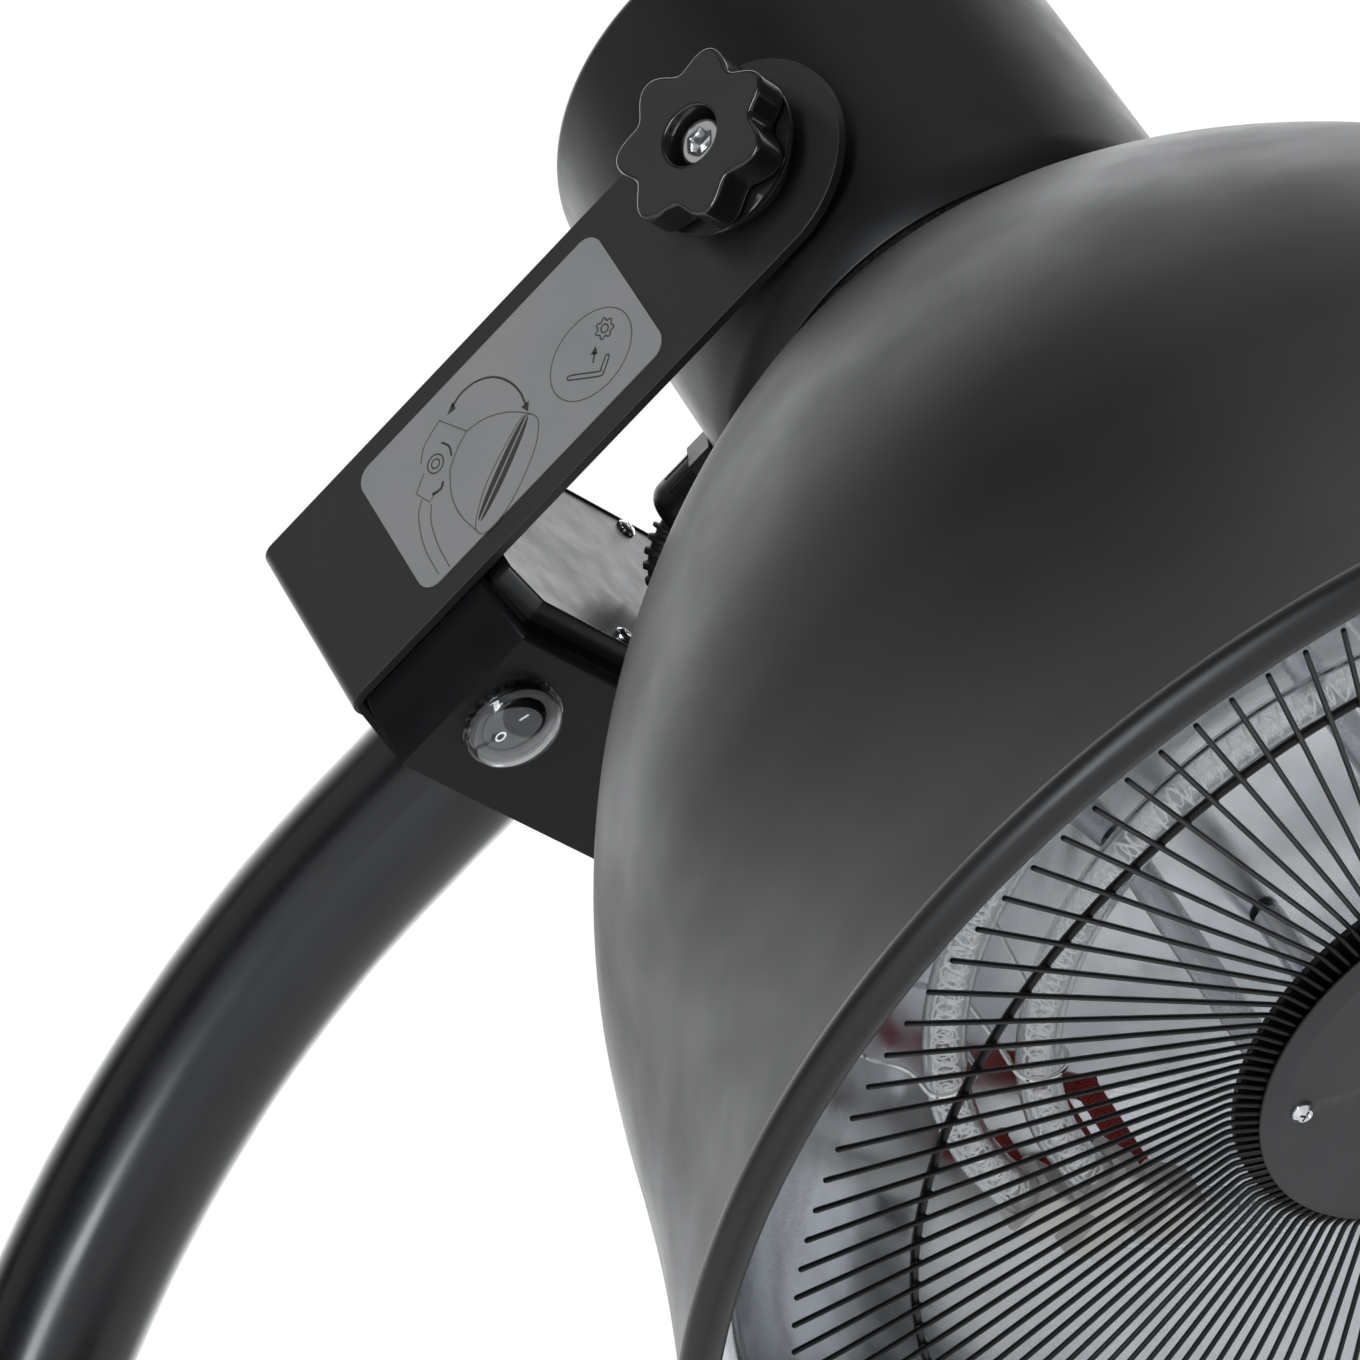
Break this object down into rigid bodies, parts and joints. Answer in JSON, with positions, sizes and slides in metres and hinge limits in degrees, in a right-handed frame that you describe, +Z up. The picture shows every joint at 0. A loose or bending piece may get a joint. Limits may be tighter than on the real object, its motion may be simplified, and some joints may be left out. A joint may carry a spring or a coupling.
{
  "type": "electric patio heater",
  "caption": "Free-standing electric patio heater: round base, arched pole and a tilting bell-shaped head with ring lamps behind a wire grille.",
  "frame": {"origin": "on the floor, under the centre of the heater's overall box", "axes": "+Z up, -Y the way the head looks, X across the head along the tilt axis"},
  "size_m": [0.5, 0.775, 2.0914],
  "materials": {
    "base_iron": "matte",
    "black_tube": "satin",
    "black_powder": "matte",
    "black_bracket": "satin",
    "zinc_steel": "satin",
    "black_screw": "satin",
    "black_rubber": "matte",
    "black_plastic": "satin",
    "gloss_plastic": "gloss",
    "white_plastic": "satin",
    "clear_silicone": "gloss",
    "label_silver": "satin",
    "polished_aluminium": "polished",
    "quartz": "gloss",
    "filament_wire": "satin",
    "ceramic": "matte",
    "red_sleeve": "matte",
    "white_lead": "matte",
    "spring_wire": "polished",
    "grille_black": "satin",
    "cap_grey": "satin",
    "fibre": "matte"
  },
  "bodies": {
    "stand": {"base_plate": "base_iron", "rubber_feet": "black_rubber", "foot_screws": "zinc_steel", "pole_socket": "black_tube", "base_bolts": "black_screw", "socket_screws": "black_screw", "lower_pole": "black_tube", "cord_gland": "black_plastic", "pole_coupler": "zinc_steel", "coupler_screws": "black_screw", "arc_tube": "black_tube", "tube_plug": "zinc_steel", "bracket": "black_bracket", "bracket_screws": "zinc_steel", "switch_box": "black_bracket", "box_lid": "black_bracket", "lid_screws": "zinc_steel", "box_terminal_block": "white_plastic", "switch_body": "gloss_plastic", "rocker_pin": "zinc_steel", "switch_cap": "clear_silicone", "arm_label": "label_silver", "knob_washers": "black_screw", "flex_lead": "black_rubber", "lid_grommet": "black_rubber"},
    "rocker": {"rocker": "gloss_plastic"},
    "knob_left": {"knob_left": "gloss_plastic", "pivot_bolt_left": "zinc_steel"},
    "knob_right": {"knob_right": "gloss_plastic", "pivot_bolt_right": "zinc_steel"},
    "head": {"can_shell": "black_powder", "can_ring": "zinc_steel", "pivot_bushes": "zinc_steel", "friction_washers": "fibre", "can_gland": "black_plastic", "gland_nut": "black_plastic", "can_terminal_block": "white_plastic", "can_tail": "black_rubber", "dome": "black_powder", "dome_screws": "zinc_steel", "reflector": "polished_aluminium", "reflector_tabs": "zinc_steel", "reflector_screws": "zinc_steel", "lamp_outer": "quartz", "lamp_inner": "quartz", "filaments": "filament_wire", "lamp_ceramics": "ceramic", "red_sleeves": "red_sleeve", "lamp_leads": "white_lead", "lamp_clips": "spring_wire", "grille_wires": "grille_black", "grille_ring": "grille_black", "grille_posts": "zinc_steel", "grille_screws": "zinc_steel", "hub_plate": "grille_black", "centre_cap": "cap_grey", "cap_spacers": "zinc_steel", "cap_screws": "zinc_steel"}
  },
  "joints": [
    {"name": "head_tilt", "type": "hinge", "parent": "stand", "child": "head", "pos_m": [0, -0.03487, 1.99], "axis": [1, 0, 0], "range_deg": [-35, 12], "deforming": ["flex_lead"]},
    {"name": "rocker_press", "type": "hinge", "parent": "stand", "child": "rocker", "pos_m": [-0.0464, 0.06242, 1.87887], "axis": [-1, 0, 0], "range_deg": [0, 16]},
    {"name": "knob_left_turn", "type": "hinge", "parent": "stand", "child": "knob_left", "pos_m": [-0.09, -0.03487, 1.99], "axis": [-1, 0, 0], "range_deg": [-360, 0]},
    {"name": "knob_right_turn", "type": "hinge", "parent": "stand", "child": "knob_right", "pos_m": [0.09, -0.03487, 1.99], "axis": [1, 0, 0], "range_deg": [-360, 0]}
  ]
}
